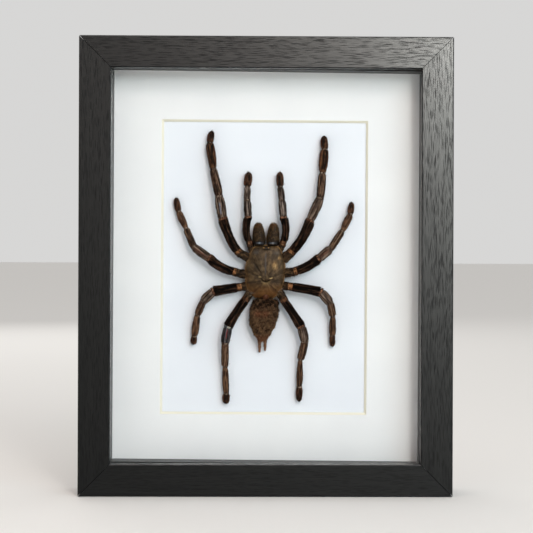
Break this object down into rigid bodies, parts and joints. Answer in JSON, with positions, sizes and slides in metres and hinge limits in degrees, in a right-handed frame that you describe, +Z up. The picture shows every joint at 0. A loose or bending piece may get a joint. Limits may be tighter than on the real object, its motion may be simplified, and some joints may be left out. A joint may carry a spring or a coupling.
{
  "type": "framed tarantula specimen",
  "caption": "Deep black wood-grain box frame, glazed, with a spread dried tarantula on white card behind a bevelled window mount; stands on its foot or hangs on a wall.",
  "frame": {"origin": "middle of the foot of the frame, at the centre of its depth", "axes": "+X to the viewer's right, +Y from the glass to the back, +Z up"},
  "size_m": [0.228, 0.035, 0.28],
  "materials": {
    "black_wood_grain": "satin black over embossed open grain",
    "glass": "clear polished float glass",
    "black_strip": "satin black",
    "mount_board": "matt white face, cream core on the bevel",
    "card": "matt cool white with a fine tooth",
    "hardboard": "smooth brown hardboard",
    "zinced_steel": "dull zinc",
    "dried_glue": "dried clear glue, slightly yellow",
    "carapace": "dry olive-brown chitin, rubbed golden in places",
    "leg_chitin": "dark brown chitin, ridged lengthwise, short hair",
    "abdomen_fur": "shrunk brown skin with short fur"
  },
  "bodies": {
    "root": {"rail_top": "black_wood_grain", "rail_bottom": "black_wood_grain", "stile_left": "black_wood_grain", "stile_right": "black_wood_grain", "glass": "glass", "spacer_top": "black_strip", "spacer_bottom": "black_strip", "spacer_left": "black_strip", "spacer_right": "black_strip", "window_mount": "mount_board", "backing_card": "card", "back_panel": "hardboard", "tab_bottom_1": "zinced_steel", "tab_bottom_2": "zinced_steel", "tab_left_1": "zinced_steel", "tab_left_2": "zinced_steel", "tab_top_1": "zinced_steel", "tab_top_2": "zinced_steel", "tab_right_1": "zinced_steel", "tab_right_2": "zinced_steel", "hanger": "zinced_steel", "hanger_pin_left": "zinced_steel", "hanger_pin_right": "zinced_steel", "glue_dab": "dried_glue", "prosoma": "carapace", "chelicera_left": "carapace", "chelicera_right": "carapace", "leg_left_1": "leg_chitin", "leg_left_2": "leg_chitin", "leg_left_3": "leg_chitin", "leg_left_4": "leg_chitin", "leg_right_1": "leg_chitin", "leg_right_2": "leg_chitin", "leg_right_3": "leg_chitin", "leg_right_4": "leg_chitin", "palp_left": "leg_chitin", "palp_right": "leg_chitin", "abdomen": "abdomen_fur", "spinneret_left": "abdomen_fur", "spinneret_right": "abdomen_fur"}
  },
  "joints": []
}
